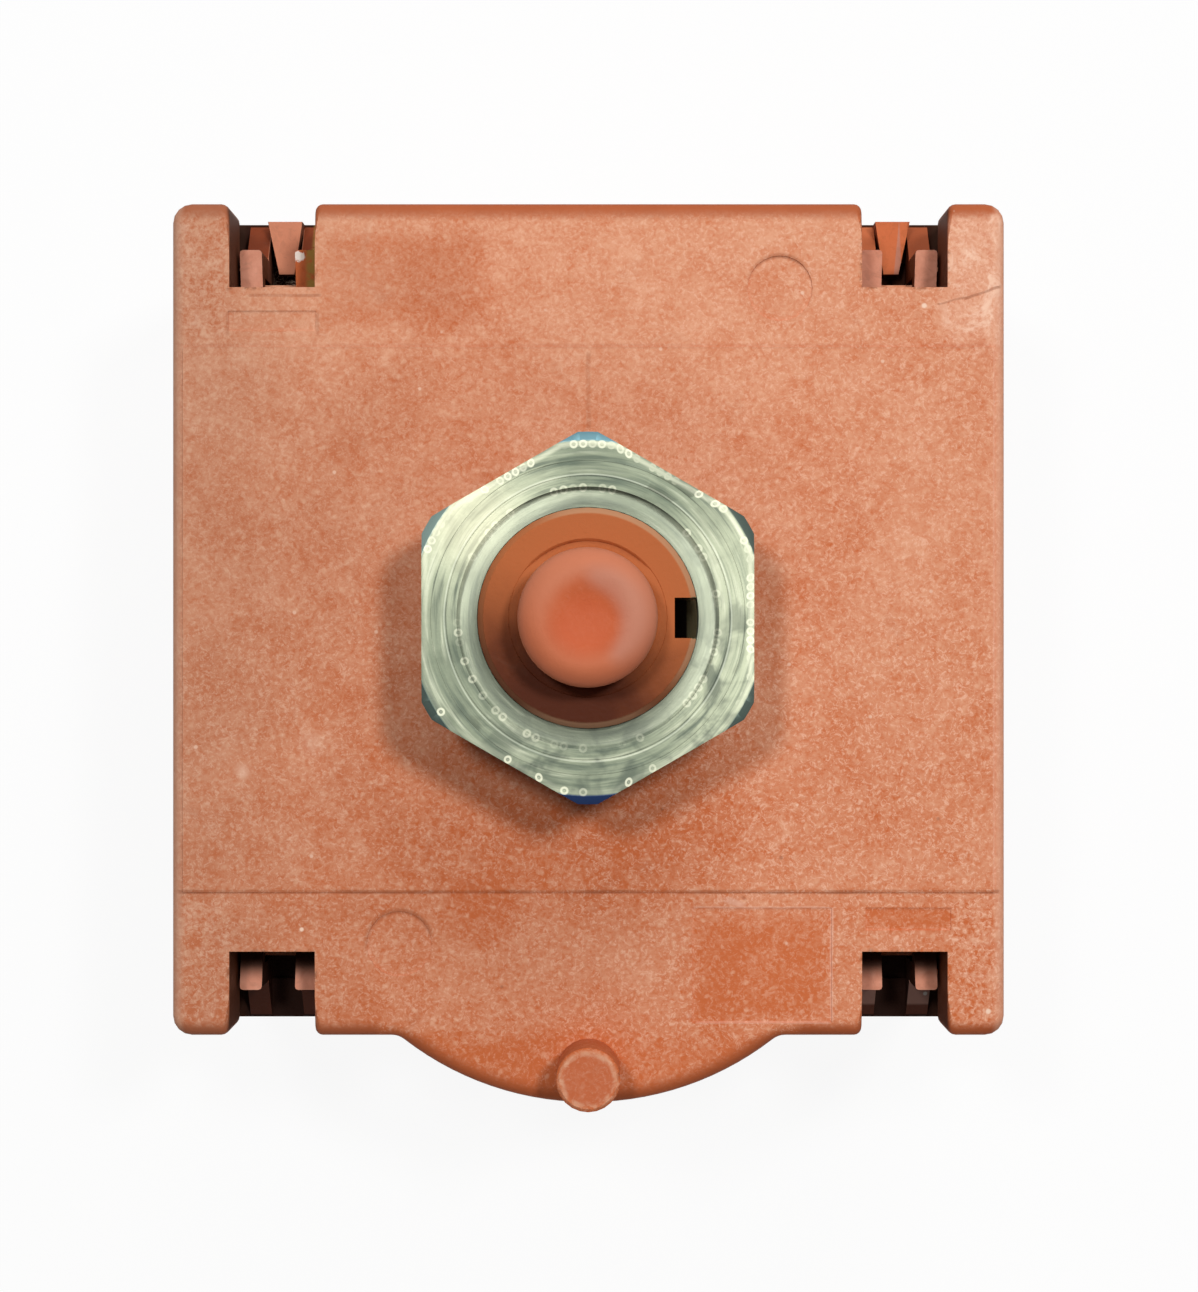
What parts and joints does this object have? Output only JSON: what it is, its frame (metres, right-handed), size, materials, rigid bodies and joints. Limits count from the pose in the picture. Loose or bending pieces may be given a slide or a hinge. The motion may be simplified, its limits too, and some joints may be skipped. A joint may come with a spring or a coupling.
{
  "type": "rotary switch",
  "caption": "Panel-mounted rotary cam switch with a square moulded housing, threaded bush, locating peg, hexagon nut, moulded spindle and rear push-on tabs.",
  "frame": {"origin": "centre of the rear face of the base, on the spindle's axis", "axes": "+Z along the spindle to the front, +Y away from the locating peg, +X towards the bush's key slot"},
  "size_m": [0.037, 0.04, 0.042],
  "materials": {
    "housing_plastic": "red-brown glass-filled thermoset, finely mottled, with soft moulded edges",
    "spindle_plastic": "red-brown moulding, smoother than the housing",
    "natural_nylon": "natural nylon, satin",
    "plated_steel": "greenish zinc plate over turned rings",
    "spring_steel": "bright drawn spring steel",
    "contact_silver": "fine silver, lightly tarnished",
    "contact_copper": "rolled copper alloy strip",
    "tinned_brass": "tinned brass strip, satin, with stamped edges"
  },
  "bodies": {
    "housing": {"front_cover": "housing_plastic", "rear_base": "housing_plastic", "partition_plate": "natural_nylon", "detent_spring_1": "spring_steel", "detent_spring_2": "spring_steel", "plunger_spring_1": "spring_steel", "plunger_spring_2": "spring_steel", "plunger_spring_3": "spring_steel", "plunger_spring_4": "spring_steel", "terminal_1": "tinned_brass", "terminal_2": "tinned_brass", "terminal_3": "tinned_brass", "terminal_4": "tinned_brass", "terminal_5": "tinned_brass", "terminal_6": "tinned_brass", "terminal_7": "tinned_brass", "terminal_8": "tinned_brass", "fixed_rivet_1": "contact_silver", "fixed_rivet_2": "contact_silver", "fixed_rivet_3": "contact_silver", "fixed_rivet_4": "contact_silver", "fixed_rivet_5": "contact_silver", "fixed_rivet_6": "contact_silver", "fixed_rivet_7": "contact_silver", "fixed_rivet_8": "contact_silver"},
    "rotor": {"spindle": "spindle_plastic", "cam_disc": "natural_nylon", "index_wheel": "natural_nylon"},
    "nut": {"hex_nut": "plated_steel"},
    "plunger_set_1": {"plunger_1": "natural_nylon", "bridge_1": "contact_copper", "moving_rivet_1": "contact_silver", "moving_rivet_2": "contact_silver"},
    "plunger_set_2": {"plunger_2": "natural_nylon", "bridge_2": "contact_copper", "moving_rivet_3": "contact_silver", "moving_rivet_4": "contact_silver"},
    "plunger_set_3": {"plunger_3": "natural_nylon", "bridge_3": "contact_copper", "moving_rivet_5": "contact_silver", "moving_rivet_6": "contact_silver"},
    "plunger_set_4": {"plunger_4": "natural_nylon", "bridge_4": "contact_copper", "moving_rivet_7": "contact_silver", "moving_rivet_8": "contact_silver"}
  },
  "joints": [
    {"name": "spindle_turn", "type": "hinge", "parent": "housing", "child": "rotor", "pos_m": [0, 0, 0.021], "axis": [0, 0, -1], "range_deg": [0, 60], "deforming": ["detent_spring_1", "detent_spring_2"]},
    {"name": "nut_turn", "type": "hinge", "parent": "housing", "child": "nut", "pos_m": [0, 0, 0.0284], "axis": [0, 0, 1], "continuous": true},
    {"name": "plunger_slide_1", "type": "slide", "parent": "housing", "child": "plunger_set_1", "axis": [-1, 0, 0], "range_m": [0, 0.0016], "deforming": ["plunger_spring_1"]},
    {"name": "plunger_slide_2", "type": "slide", "parent": "housing", "child": "plunger_set_2", "axis": [0, -1, 0], "range_m": [0, 0.0016], "deforming": ["plunger_spring_2"]},
    {"name": "plunger_slide_3", "type": "slide", "parent": "housing", "child": "plunger_set_3", "axis": [1, 0, 0], "range_m": [0, 0.0016], "deforming": ["plunger_spring_3"]},
    {"name": "plunger_slide_4", "type": "slide", "parent": "housing", "child": "plunger_set_4", "axis": [0, 1, 0], "range_m": [0, 0.0016], "deforming": ["plunger_spring_4"]}
  ],
  "couplings": [
    {"joint": "plunger_slide_1", "follows": "spindle_turn", "m_per_rad": 0.0015278},
    {"joint": "plunger_slide_2", "follows": "spindle_turn", "m_per_rad": 0.0015278},
    {"joint": "plunger_slide_3", "follows": "spindle_turn", "m_per_rad": 0.0015278},
    {"joint": "plunger_slide_4", "follows": "spindle_turn", "m_per_rad": 0.0015278}
  ]
}
